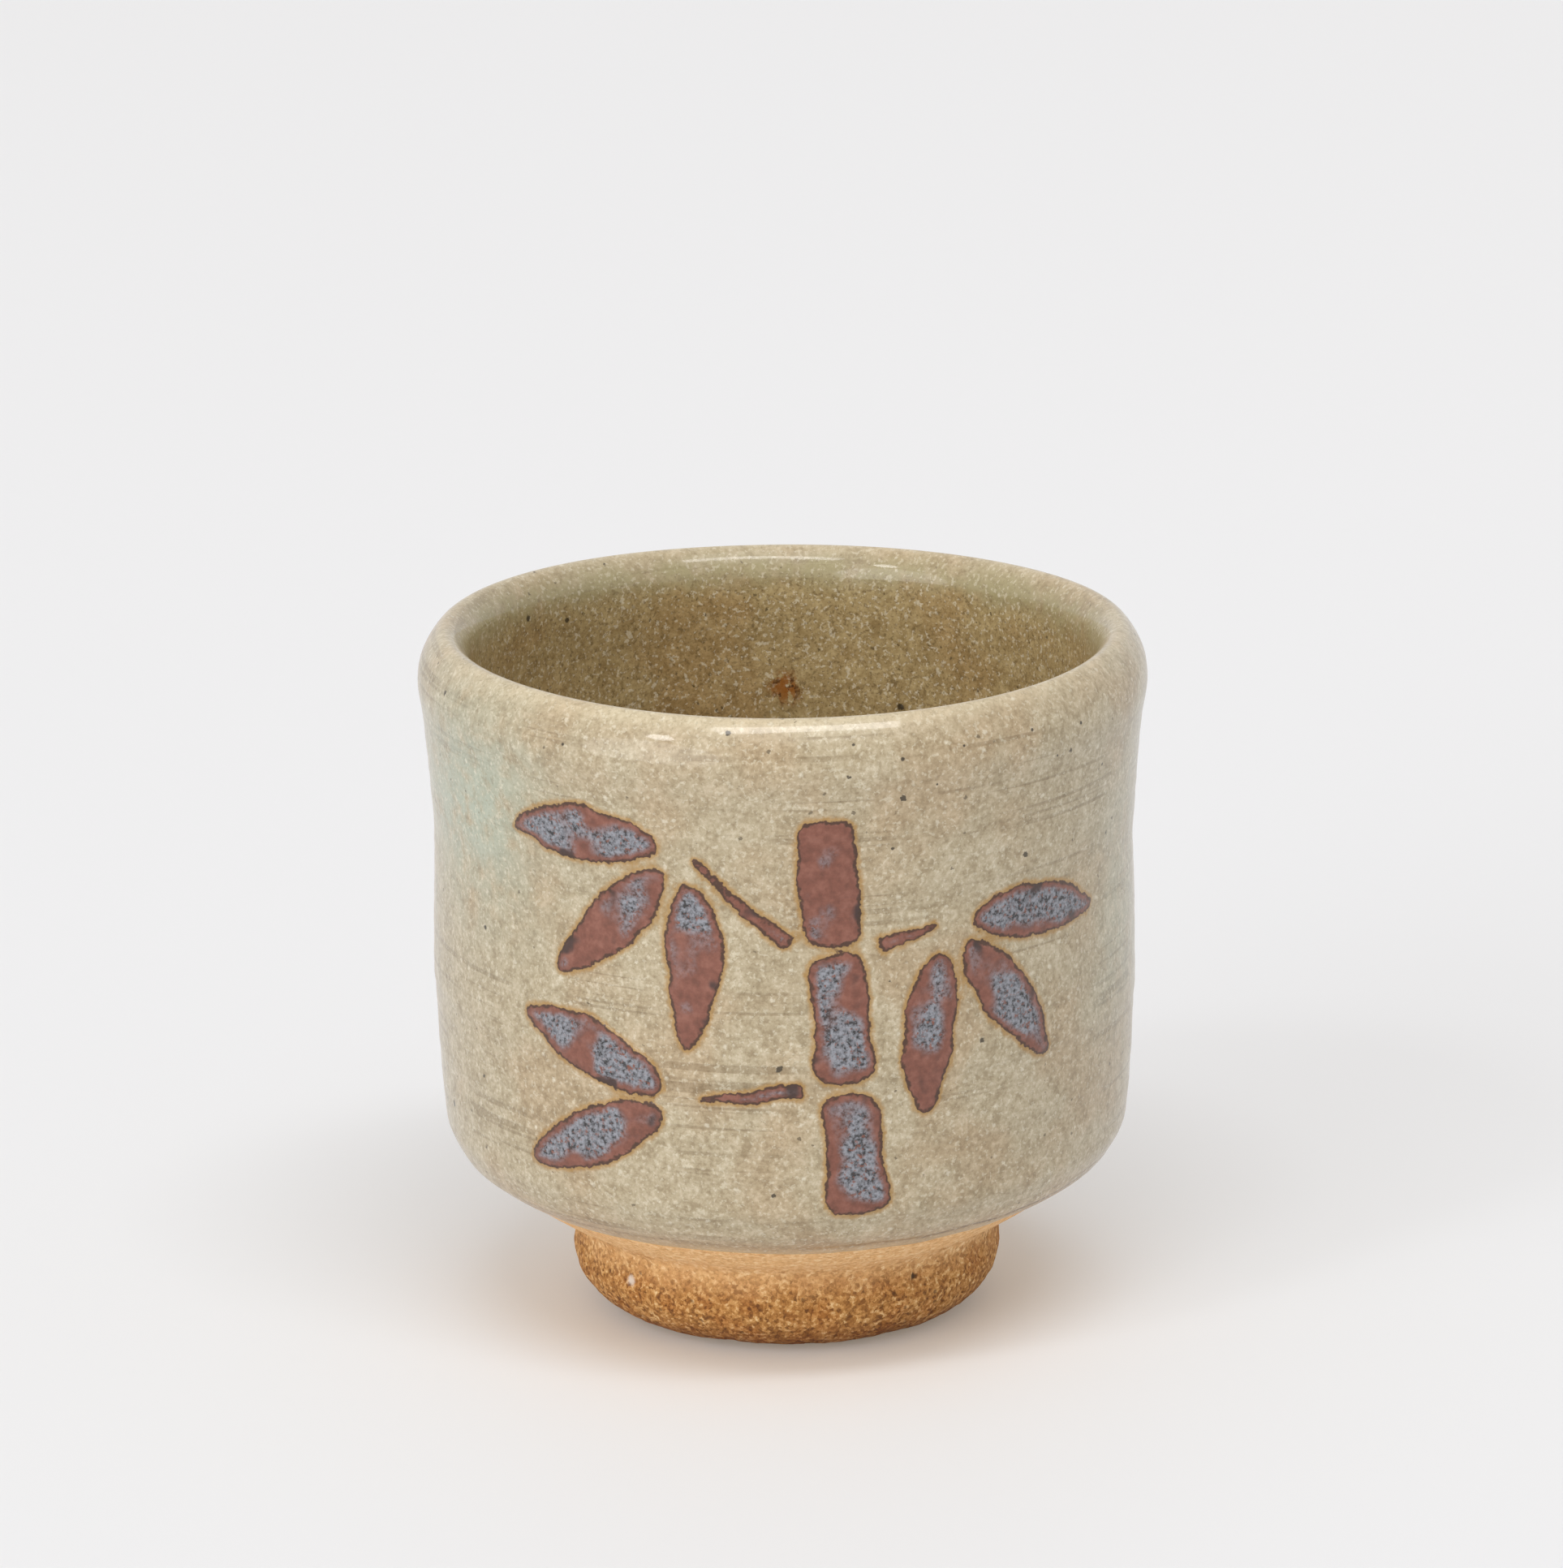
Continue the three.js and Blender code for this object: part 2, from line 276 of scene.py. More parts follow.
# Outline of the whole coat of glaze: up the outside, over the crest of the lip and down to the floor
coat_loop = outline("outer_glaze")
edge_index = int(np.argmin(coat_loop[:, 1]))
coat_loop = np.roll(coat_loop, -edge_index, 0)
if coat_loop[1, 0] < coat_loop[-1, 0]:
    coat_loop = np.roll(coat_loop[::-1], 1, 0)
outer_skin = coat_loop[:int(np.argmax(coat_loop[:, 1])) + 1]
lining = outline("inner_glaze")
if lining[0, 1] < lining[-1, 1]:
    lining = lining[::-1]
inner_skin = lining[:int(np.argmax(lining[:, 1])) + 1][::-1]
glaze_thickness = abs(lining[0, 1] - lining[-1, 1])

coat = Skin(curve_through(np.concatenate([outer_skin, inner_skin[1:]]), COAT_STEP / 2))
crest = coat.length[int(np.argmax(coat.path[:, 1]))]
lip_height = coat.path[:, 1].max()


def coat_points(length, azimuth, lift):
    """Points on the glaze, whose rim rises at the sides."""
    points = coat.points(length, azimuth, lift)
    rise = smooth_step(points[:, 2], RIM_WAVE_START, lip_height)
    points[:, 2] += RIM_WAVE * rise * np.sin(azimuth) ** 2
    return points


# Outline of the bare clay: the foot from the middle of its recess, then the underside of the body
foot_outline = outline("foot")
if foot_outline[0, 1] > foot_outline[-1, 1]:
    foot_outline = foot_outline[::-1]
body_outline = outline("cup_body")
if body_outline[0, 1] > body_outline[-1, 1]:
    body_outline = body_outline[::-1]
neck_height = foot_outline[-1, 1]
neck = arc_length(foot_outline[:-1])[-1]


def clay_outline():
    """The clay's outline with its edges worn round, and a wider fillet at the neck."""
    path = np.concatenate([foot_outline[:-1], body_outline[2:-1]])
    worn = rounded(path, CLAY_STEP / 2, EDGE_WEAR)
    filleted = rounded(path, CLAY_STEP / 2, NECK_FILLET)
    lengths = np.linspace(0, arc_length(path)[-1], len(worn))
    near_neck = hump(lengths, neck, 2 * NECK_FILLET)[:, None]
    return worn + near_neck * (filleted - worn)


clay = Skin(clay_outline())
bare_end = neck + BARE_REACH


# Meshes

def add_piece(name, points, faces, attributes):
    """A smooth mesh from points in millimetres, with a number at each point for each attribute."""
    mesh = bpy.data.meshes.new(name)
    mesh.from_pydata((np.asarray(points) * MM).tolist(), [], faces)
    mesh.polygons.foreach_set("use_smooth", np.ones(len(mesh.polygons), bool))
    for key, values in attributes.items():
        layer = mesh.attributes.new(key, "FLOAT", "POINT")
        layer.data.foreach_set("value", np.asarray(values, np.float32))
    mesh.update()
    piece = bpy.data.objects.new(name, mesh)
    bpy.context.scene.collection.objects.link(piece)
    return piece


def ring_faces(rings, closed):
    """Faces between rings of points. A ring of one point is a pole."""
    starts = np.concatenate([[0], np.cumsum([len(r) for r in rings])])
    pairs = [(i, i + 1) for i in range(len(rings) - 1)]
    if closed:
        pairs.append((len(rings) - 1, 0))
    faces = []
    for i, j in pairs:
        a, b = int(starts[i]), int(starts[j])
        columns = max(len(rings[i]), len(rings[j]))
        for k in range(columns):
            after = (k + 1) % columns
            if len(rings[i]) == len(rings[j]) == 1:
                continue
            if len(rings[i]) == 1:
                faces.append((a, b + after, b + k))
            elif len(rings[j]) == 1:
                faces.append((a + k, a + after, b))
            else:
                faces.append((a + k, a + after, b + after, b + k))
    return faces


# Brush strokes, from the outlines of their nodes on the unrolled wall

STROKE_NODES = sorted(
    part["node"] for part in frame["record"]["subparts"] if part["material_slot"] == "iron_pigment"
)
on_wall = coat.length <= crest


def length_at(height):
    """Length along the glaze's outline at a height on the outside."""
    return np.interp(height, coat.path[on_wall, 1], coat.length[on_wall])


def unrolled(points, middle):
    """Places on the wall: the distance to the right of an azimuth, and the height."""
    azimuth = (azimuth_of(points) - middle + math.pi) % (2 * math.pi) - math.pi
    return np.stack([azimuth * coat.radius(length_at(points[:, 2])), points[:, 2]], 1)


def stroke_outline(node, seed):
    """The azimuth of a stroke's middle and its outline on the unrolled wall, as a brush leaves it."""
    mesh = frame["nodes"][node].data
    points = np.array([v.co for v in mesh.vertices]) / MM
    middle = math.atan2(points[:, 0].mean(), -points[:, 1].mean())
    flat = [tuple(p) for p in np.round(unrolled(points, middle), 2)]
    lift = np.hypot(points[:, 0], points[:, 1]) - coat.radius(length_at(points[:, 2]))
    is_outer = lift > (lift.min() + lift.max()) / 2
    edges = set()
    for polygon in mesh.polygons:
        corners = list(polygon.vertices)
        if is_outer[corners].all():
            edges.update((flat[a], flat[b]) for a, b in zip(corners, corners[1:] + corners[:1]))
    after = {a: b for a, b in edges if (b, a) not in edges}
    loop = [min(after)]
    while after[loop[-1]] != loop[0]:
        loop.append(after[loop[-1]])
    return middle, brushed(np.array(loop), seed)


def brushed(loop, seed):
    """An outline with its corners softened and its edge made to sway."""
    ring = np.concatenate([loop, loop[:1]])
    knots = arc_length(ring)
    area = abs(np.sum(ring[:-1, 0] * ring[1:, 1] - ring[1:, 0] * ring[:-1, 1])) / 2
    breadth = 2 * area / knots[-1]
    softening = round(SOFTENING * breadth**2)
    steps = np.linspace(0, knots[-1], int(knots[-1] / (STROKE_STEP / 2)), endpoint=False)
    fine = np.stack([np.interp(steps, knots, ring[:, k]) for k in (0, 1)], 1)
    for _ in range(softening):
        fine = (np.roll(fine, 1, 0) + 2 * fine + np.roll(fine, -1, 0)) / 4
    place = np.concatenate([fine, np.zeros((len(fine), 1))], 1)
    return fine + SWAY * np.stack([noise(place, SWAY_SIZE, seed), noise(place, SWAY_SIZE, seed + 1)], 1)


def distance_to_loop(points, loop):
    """Signed distance from places to a closed outline, negative inside."""
    best = np.full(len(points), np.inf)
    inside = np.zeros(len(points), bool)
    for start, end in zip(loop, np.roll(loop, -1, 0)):
        way = end - start
        t = np.clip(((points - start) @ way) / max(way @ way, 1e-12), 0, 1)
        best = np.minimum(best, np.hypot(*(points - start - t[:, None] * way).T))
        if start[1] != end[1]:
            crosses = (start[1] > points[:, 1]) != (end[1] > points[:, 1])
            inside ^= crosses & (points[:, 0] < start[0] + (points[:, 1] - start[1]) * way[0] / way[1])
    return np.where(inside, -best, best)


FIRST_STROKE_SEED = 100
STROKE_SEED_STEP = 7
strokes = {
    node: stroke_outline(node, seed=FIRST_STROKE_SEED + STROKE_SEED_STEP * i)
    for i, node in enumerate(STROKE_NODES)
}


def distance_to_strokes(points):
    """Signed distance from points on the wall to the brushwork, in which close strokes run together."""
    total = np.full(len(points), math.exp(-STROKE_FIELD / STROKE_MERGING))
    for middle, loop in strokes.values():
        flat = unrolled(points, middle)
        near = np.all((flat > loop.min(0) - STROKE_FIELD) & (flat < loop.max(0) + STROKE_FIELD), 1)
        if near.any():
            total[near] += np.exp(-distance_to_loop(flat[near], loop) / STROKE_MERGING)
    return -STROKE_MERGING * np.log(total)


# Glaze

def wall_wobble(points):
    """How the hand-thrown wall wavers, alike in the glaze and in the bare clay."""
    return 0.14 * noise(points, size=17, seed=15)


def edge_shift(azimuth):
    """How far the glaze stops short of the lower end of its outline, which is most at the sides."""
    circle = to_space(10.0, 0.0, azimuth)
    waves = 0.35 * noise(circle, size=4.5, seed=3) + 0.24 * noise(circle, size=1.1, seed=4)
    degrees = np.degrees(azimuth)
    left = 3.0 * hump(degrees, centre=-76, width=28)
    right = 1.8 * hump(degrees, centre=68, width=28)
    return 1.2 + waves + left + right


def trim_line(length, azimuth):
    """1 on a line cut in the clay by the trimming tool, above the edge of the glaze on the right."""
    above_edge = length - edge_shift(azimuth)
    return hump(above_edge, centre=3.3, width=0.28) * hump(np.degrees(azimuth), centre=44, width=24)


def coat_relief(length, azimuth):
    """Height of the glaze over its outline: wobble, throwing rings, a dented lip and a roll inside it."""
    points = coat.points(length, azimuth, 0)
    height = points[:, 2]
    outside = smooth_step(length, crest + 1.5, crest - 1.5)
    spiral = height + 0.35 * azimuth + 0.5 * noise(points, size=14, seed=11)
    rings = 0.05 * noise_along(spiral, size=2.6, seed=12) + 0.025 * noise_along(spiral, size=0.9, seed=13)
    inner_rings = 0.06 * noise_along(height + 0.3 * azimuth, size=3.4, seed=14)
    wobble = wall_wobble(points) + 0.02 * noise(points, size=2.2, seed=16)
    lip = hump(length, centre=crest, width=5)
    lip_dip = 0.1 * lip * (1 + noise(to_space(12.0, 0 * height, azimuth), size=9, seed=17))
    relief = (wobble + outside * rings) * (1 - lip) + (1 - outside) * inner_rings * (1 - lip)
    roll_start = smooth_step(length, crest + 0.9, crest + 3.4)
    roll_end = smooth_step(length, crest + 10, crest + 4)
    inner_roll = 0.28 * roll_start * roll_end
    relief = relief - lip_dip - 0.1 * trim_line(length, azimuth) + inner_roll
    return relief * smooth_step(coat.radius(length), 0, 6)


def glaze_attributes(length, azimuth, edge):
    """What the glaze's shader reads at each point, with the distance from the coat's lower edge."""
    points = coat.points(length, azimuth, 0)
    degrees = np.degrees(azimuth) + 8 * noise(points, size=9, seed=21)
    height = points[:, 2]
    outside = smooth_step(length, crest + 0.5, crest - 1.5)
    iron = np.full(len(points), float(STROKE_FIELD))
    wall = length < crest
    iron[wall] = distance_to_strokes(points[wall])
    left_pool = hump(degrees, centre=-62, width=22) * hump(height, centre=47, width=8)
    right_pool = 0.4 * hump(degrees, centre=76, width=14) * hump(height, centre=38, width=13)
    ragged = length + 0.5 * noise(points, size=3, seed=23) + 0.35 * noise(points, size=0.8, seed=24)
    lip_pool = hump(ragged, centre=crest + 2.8, width=1.6)
    # Painted sheen: the pale crest of the lip is made stronger at the front and back than at the sides.
    painted_sheen_front_back = 0.85 + 0.35 * np.cos(2 * azimuth)
    patchy = 0.75 + 0.25 * noise(points, size=5, seed=22)
    thin_glaze_and_painted_sheen = painted_sheen_front_back * hump(length, centre=crest - 0.5, width=1.2) * patchy
    return {
        "iron": iron,
        "pool": np.clip(outside * (left_pool + right_pool), 0, 1),
        "lip_pool": lip_pool,
        "thin_glaze_and_painted_sheen": np.clip(thin_glaze_and_painted_sheen, 0, 1),
        "inside": smooth_step(ragged, crest + 2.2, crest + 4.8),
        "edge": edge,
        # Painted shade along the trimming groove.
        "painted_groove_shade": trim_line(length, azimuth),
    }


def build_glaze_coat():
    """One closed skin: up the outside, over the lip, down to the floor and back along the clay."""
    azimuth = turn(COAT_COLUMNS)
    shift = edge_shift(azimuth)
    buried = glaze_thickness + COAT_BURIAL
    end = coat.length[-1]
    rows = np.concatenate([
        np.arange(0, EDGE_FEATHER, EDGE_STEP),
        np.arange(EDGE_FEATHER, EDGE_REACH, COAT_STEP / 2),
        np.arange(EDGE_REACH, crest - BELOW_CREST, COAT_STEP),
        np.arange(crest - CREST_REACH, crest + CREST_REACH, CREST_STEP),
        np.arange(crest + PAST_CREST, end - POLE_GAP, COAT_STEP),
    ])
    hidden_rows = np.arange(end - HIDDEN_STEP, EDGE_FEATHER / 2, -HIDDEN_STEP)
    rings, lengths, edges = [], [], []

    def add_ring(row, lift):
        length = np.clip(row + shift * smooth_step(row, EDGE_REACH, 0), 0, end)
        rings.append(coat_points(length, azimuth, lift + coat_relief(length, azimuth)))
        lengths.append(length)
        edges.append(np.full(COAT_COLUMNS, row))

    def add_pole(lift):
        rings.append(np.array([[0, 0, coat.path[-1, 1] + lift]]))
        lengths.append(np.array([end]))
        edges.append(np.array([end]))

    for row in rows:
        left = 1 - min(row / EDGE_FEATHER, 1)
        add_ring(row, -buried * left * left)
    add_pole(0)
    add_pole(-buried)
    for row in hidden_rows:
        add_ring(row, -buried)
    length = np.concatenate(lengths)
    azimuths = np.concatenate([azimuth if len(r) > 1 else np.zeros(1) for r in rings])
    attributes = glaze_attributes(length, azimuths, np.concatenate(edges))
    return add_piece("glaze_coat", np.concatenate(rings), ring_faces(rings, True), attributes)


def stroke_grid(loop):
    """A grid of places round a stroke on the unrolled wall, and their signed distances to it."""
    low = loop.min(0) - 2 * STROKE_MARGIN
    high = loop.max(0) + 2 * STROKE_MARGIN
    counts = np.ceil((high - low) / STROKE_STEP).astype(int) + 1
    across, up = (low[k] + STROKE_STEP * np.arange(counts[k]) for k in (0, 1))
    grid = np.stack(np.meshgrid(across, up, indexing="ij"), -1).reshape(-1, 2)
    return grid, distance_to_loop(grid, loop).reshape(counts)


def stroke_cells(grid, distance):
    """The places of a grid that cover a stroke and its margin, and the square cells between them."""
    kept = distance < STROKE_MARGIN + STROKE_STEP / 2
    cells = kept[:-1, :-1] & kept[1:, :-1] & kept[1:, 1:] & kept[:-1, 1:]
    padded = np.pad(cells, 1)
    around = np.stack([padded[:-1, :-1], padded[1:, :-1], padded[1:, 1:], padded[:-1, 1:]]).sum(0)
    rim = ((around > 0) & (around < 4)).ravel()
    slope = np.stack(np.gradient(distance, STROKE_STEP), -1).reshape(-1, 2)
    slope /= np.maximum(np.hypot(*slope.T), 0.2)[:, None]
    past = (distance.ravel() - STROKE_MARGIN)[:, None]
    grid[rim] -= (past * slope)[rim]
    used = np.flatnonzero(around.ravel() > 0)
    index = np.full(around.size, -1)
    index[used] = np.arange(len(used))
    index = index.reshape(distance.shape)
    corners = [((i, j), (i + 1, j), (i + 1, j + 1), (i, j + 1)) for i, j in np.argwhere(cells)]
    return grid[used], [[int(index[place]) for place in cell] for cell in corners]


def pad_faces(cells, under):
    """Faces of a closed pad: cells on top, the same below, and sides where a cell has no neighbour."""
    faces = []
    sides = {}
    for corners in cells:
        faces.append(tuple(corners))
        faces.append(tuple(c + under for c in reversed(corners)))
        for a, b in zip(corners, corners[1:] + corners[:1]):
            sides[(a, b)] = (b, a)
    for (a, b), opposite in sides.items():
        if opposite not in sides:
            faces.append((a, a + under, b + under, b))
    return faces


def build_stroke(node):
    """A stroke as a shallow pad that stands a little proud of the glaze and dips into it all round."""
    middle, loop = strokes[node]
    places, cells = stroke_cells(*stroke_grid(loop))
    depth = distance_to_loop(places, loop)
    length = length_at(places[:, 1])
    azimuth = middle + places[:, 0] / coat.radius(length)
    relief = coat_relief(length, azimuth)
    lift = STROKE_RELIEF * smooth_step(depth, 0.35, -0.7) - STROKE_DIP * smooth_step(depth, 0.25, 0.45)
    top = coat_points(length, azimuth, relief + lift)
    bottom = coat_points(length, azimuth, relief - STROKE_BURIAL)
    faces = pad_faces(cells, len(top))
    lengths = np.tile(length, 2)
    attributes = glaze_attributes(lengths, np.tile(azimuth, 2), lengths)
    return add_piece("brush_" + node, np.concatenate([top, bottom]), faces, attributes)


# Bare clay

def clay_relief(length, azimuth):
    """Sandy clay: grains and pits, rough low on the foot and smoother towards the glaze."""
    points = clay.points(length, azimuth, 0)
    rough = smooth_step(length, neck + 1.5, neck - 1.5)
    grains = 0.07 * noise(points, size=0.9, seed=31) + 0.03 * noise(points, size=0.5, seed=32)
    pits = -0.18 * smooth_step(noise(points, size=0.8, seed=33), 0.42, 0.75)
    lumps = 0.08 * noise(points, size=5, seed=34)
    turned = 0.04 * noise_along(points[:, 2] + 0.2 * azimuth, size=1.1, seed=35)
    low = smooth_step(points[:, 2], 2.4, 0.6)
    chipped = -0.14 * smooth_step(noise(points, size=1.7, seed=36), 0, 0.7) * low
    return (0.35 + 0.65 * rough) * (grains + pits) + lumps + turned + chipped


def clay_swell(length, azimuth):
    """How far the bare underside swells, so that the glaze thins out on it without a step."""
    points = clay.points(length, azimuth, 0)
    rise = smooth_step(length, neck + 0.5, neck + 3) * smooth_step(length, bare_end, bare_end - 2)
    return rise * (BARE_SWELL + wall_wobble(points))


def clay_points(length, azimuth, lift):
    """Points of the clay's surface, none of them below the surface that the cup stands on."""
    points = clay.points(length, azimuth, lift)
    points[:, 2] = np.maximum(points[:, 2], 0)
    return points


def clay_attributes(points):
    """What the clay's shader reads at each point: the smooth clay near the glaze, painted lighter as if lit
    there, and painted shade near the floor.
    """
    # Near the glaze the clay is smoother, and it is painted lighter there as painted light on the top of the
    # foot.
    smooth_and_painted_light_height = points[:, 2] + 0.6 * noise(points, size=2, seed=41)
    # Painted shade: the foot darkens towards the floor.
    painted_floor_shade_height = points[:, 2] + 0.4 * noise(points, size=2, seed=42)
    return {
        "smooth_and_painted_light": smooth_step(smooth_and_painted_light_height, neck_height - 2.8, neck_height + 1.4),
        "painted_floor_shade": smooth_step(painted_floor_shade_height, 3.2, 0),
    }


def build_foot():
    """The turned foot, from its recess round the ring that it stands on and up to the neck."""
    azimuth = turn(CLAY_COLUMNS)
    rings = [np.array([[0, 0, clay.path[0, 1]]])]
    for length in np.arange(CLAY_STEP, neck, CLAY_STEP).tolist() + [neck]:
        row = np.full(CLAY_COLUMNS, length)
        calm = smooth_step(clay.radius(length), 0, 2)
        rings.append(clay_points(row, azimuth, calm * clay_relief(row, azimuth)))
    rings.append(np.array([[0, 0, neck_height]]))
    points = np.concatenate(rings)
    return add_piece("clay_foot", points, ring_faces(rings, False), clay_attributes(points))


def build_body():
    """The stoneware body: its bare underside, and the rest of it under the glaze."""
    azimuth = turn(CLAY_COLUMNS)
    rings = [np.array([[0, 0, neck_height]])]
    for length in [neck] + np.arange(neck + CLAY_STEP, bare_end, CLAY_STEP).tolist():
        row = np.full(CLAY_COLUMNS, length)
        calm = smooth_step(length, bare_end, bare_end - 1.5)
        relief = calm * clay_relief(row, azimuth) + clay_swell(row, azimuth)
        rings.append(clay_points(row, azimuth, relief))
    for length in np.arange(bare_end, clay.length[-1] - POLE_GAP, HIDDEN_STEP):
        rings.append(clay_points(np.full(CLAY_COLUMNS, length), azimuth, -CLAY_BURIAL))
    rings.append(np.array([[0, 0, body_outline[-1, 1] - CLAY_BURIAL]]))
    points = np.concatenate(rings)
    return add_piece("clay_body", points, ring_faces(rings, False), clay_attributes(points))


# Materials

def colour(code):
    """Linear colour of a hexadecimal screen colour."""
    parts = [int(code[i:i + 2], 16) / 255 for i in (0, 2, 4)]
    return tuple(c / 12.92 if c <= 0.04045 else ((c + 0.055) / 1.055) ** 2.4 for c in parts) + (1.0,)


class Shader:
    """A node material, with short calls for the nodes that the materials share."""

    def __init__(self, name):
        self.material = bpy.data.materials.new(name)
        self.material.use_nodes = True
        self.tree = self.material.node_tree
        self.surface = self.tree.nodes["Principled BSDF"]
        place = self.node("ShaderNodeTexCoord").outputs["Object"]
        self.place = self.vector("SCALE", place, scale=1 / MM)

    def node(self, kind, inputs=None, **settings):
        """A new node with values or links on its inputs."""
        node = self.tree.nodes.new(kind)
        for key, value in settings.items():
            setattr(node, key, value)
        for key, value in (inputs or {}).items():
            self.set(node.inputs[key], value)
        return node

    def set(self, socket, value):
        """Links a socket to another, or sets its value."""
        if isinstance(value, bpy.types.NodeSocket):
            self.tree.links.new(value, socket)
        else:
            socket.default_value = value

    def attribute(self, name):
        """A number that the mesh holds at each point."""
        return self.node("ShaderNodeAttribute", attribute_name=name).outputs["Fac"]

    def vector(self, operation, a, b=(0, 0, 0), scale=1.0):
        """Arithmetic on places."""
        inputs = {0: a, 1: b, 3: scale}
        node = self.node("ShaderNodeVectorMath", inputs, operation=operation)
        return node.outputs["Value" if operation == "DISTANCE" else "Vector"]

    def math(self, operation, a, b=0.0, c=0.0):
        """Arithmetic on numbers."""
        return self.node("ShaderNodeMath", {0: a, 1: b, 2: c}, operation=operation).outputs[0]

    def texture(self, scale, detail, roughness, shift, stretch):
        """A noise texture with about scale lumps to the millimetre."""
        place = self.vector("MULTIPLY_ADD", self.place, stretch)
        self.set(place.node.inputs[2], (shift, shift, shift))
        inputs = {"Vector": place, "Scale": scale, "Detail": detail, "Roughness": roughness}
        return self.node("ShaderNodeTexNoise", inputs)

    def noise(self, scale, detail=2.0, roughness=0.5, shift=0.0, stretch=(1, 1, 1)):
        """Noise from 0 to 1, as a number."""
        return self.texture(scale, detail, roughness, shift, stretch).outputs["Fac"]

    def step(self, value, low, high):
        """0 at low and 1 at high, with a smooth rise between them."""
        inputs = {0: value, 1: low, 2: high, 3: 0.0, 4: 1.0}
        return self.node("ShaderNodeMapRange", inputs, interpolation_type="SMOOTHSTEP").outputs[0]

    def mix(self, factor, a, b, blend="MIX"):
        """Colour a where the factor is 0, and a blended with b where it is 1."""
        inputs = {0: factor, 6: a, 7: b}
        return self.node("ShaderNodeMix", inputs, data_type="RGBA", blend_type=blend).outputs[2]

    def tint(self, base, amount, factor, code):
        """A base colour with an amount of another colour where the factor is 1."""
        return self.mix(self.math("MULTIPLY", factor, amount), base, colour(code))

    def shade(self, base, amount, factor, code):
        """A base colour multiplied by another colour where the factor is 1."""
        return self.mix(self.math("MULTIPLY", factor, amount), base, colour(code), "MULTIPLY")

    def ramp(self, value, stops):
        """Colours along a value, from stops of (position, colour)."""
        node = self.node("ShaderNodeValToRGB", {0: value})
        points = node.color_ramp.elements
        while len(points) < len(stops):
            points.new(0.5)
        for point, (position, code) in zip(points, stops):
            point.position = position
            point.color = colour(code)
        return node.outputs[0]

    def cells(self, scale, shift):
        """Ragged cells: a chance number for each, and the distance from its middle."""
        warp = self.texture(4.0, 1.0, 0.5, shift, (1, 1, 1)).outputs["Color"]
        place = self.vector("MULTIPLY_ADD", warp, (0.35, 0.35, 0.35))
        self.set(place.node.inputs[2], self.vector("ADD", self.place, (shift, shift, shift)))
        cells = self.node("ShaderNodeTexVoronoi", {"Vector": place, "Scale": scale})
        chance = self.node("ShaderNodeSeparateColor", {0: cells.outputs["Color"]}).outputs[0]
        return chance, cells.outputs["Distance"]

    def specks(self, scale, share, size, softness, shift=0.0):
        """Ragged specks in a share of the cells, of mixed sizes up to the given part of a cell."""
        chance, distance = self.cells(scale, shift)
        radius = self.math("MULTIPLY", self.math("SUBTRACT", chance, 1 - share), size / share)
        return self.step(self.math("SUBTRACT", radius, distance), 0.0, softness)

    def spots(self, places, softness):
        """Ragged spots at chosen places, as (point, radius)."""
        ragged = self.math("MULTIPLY", self.noise(4.0, 1.0), 0.6)
        total = None
        for point, radius in places:
            away = self.math("DIVIDE", self.vector("DISTANCE", self.place, tuple(point)), radius)
            spot = self.step(self.math("ADD", away, ragged), 1.3, 1.3 - softness)
            total = spot if total is None else self.math("MAXIMUM", total, spot)
        return total

    def bump(self, height, distance):
        """Directions of a surface raised by the distance where the height is 1."""
        inputs = {"Height": height, "Distance": distance * MM, "Strength": 1.0}
        return self.node("ShaderNodeBump", inputs).outputs[0]


def on_coat(mark, inside):
    """A mark's middle on the glaze, and its radius."""
    degrees, height, radius = mark
    rows = coat.length > crest if inside else coat.length <= crest
    heights, lengths = coat.path[rows, 1], coat.length[rows]
    order = np.argsort(heights)
    length = np.interp([height], heights[order], lengths[order])
    azimuth = np.radians([degrees])
    return coat_points(length, azimuth, coat_relief(length, azimuth))[0], radius


def on_foot(mark):
    """A mark's middle on the side of the foot, and its radius."""
    degrees, height, radius = mark
    side = (clay.length < neck) & (clay.path[:, 0] > foot_outline[:, 0].max() * 0.8)
    length = np.interp([height], clay.path[side, 1], clay.length[side])
    return clay.points(length, np.radians([degrees]), 0)[0], radius


def glaze_ground(s, inside):
    """The colour of plain glaze, browner inside, with its grain and the fine lines left by the wheel."""
    grain = s.noise(2.4, detail=3.0, roughness=0.65)
    cloud = s.noise(0.7, shift=17)
    tone = s.math("MULTIPLY_ADD", grain, 0.6, s.math("MULTIPLY", cloud, 0.4))
    base = s.ramp(tone, [(0.37, "9c8a6b"), (0.46, "ae9d7e"), (0.54, "b9a98b"), (0.64, "c8b99d")])
    base = s.shade(base, 0.4, s.step(s.noise(0.12, shift=5), 0.45, 0.65), "f4ddc8")
    lines = s.noise(2.0, detail=1.0, shift=40, stretch=(0.012, 0.012, 1.0))
    in_patches = s.step(s.noise(0.1, detail=1.0, shift=44), 0.42, 0.62)
    lined = s.math("MULTIPLY", s.step(lines, 0.42, 0.34), in_patches)
    lined = s.math("MULTIPLY", lined, s.step(inside, 0.5, 0.0))
    base = s.shade(base, 0.4, lined, "a8987a")
    base = s.shade(base, 0.8, inside, "f9ecc4")
    return base, grain, lined


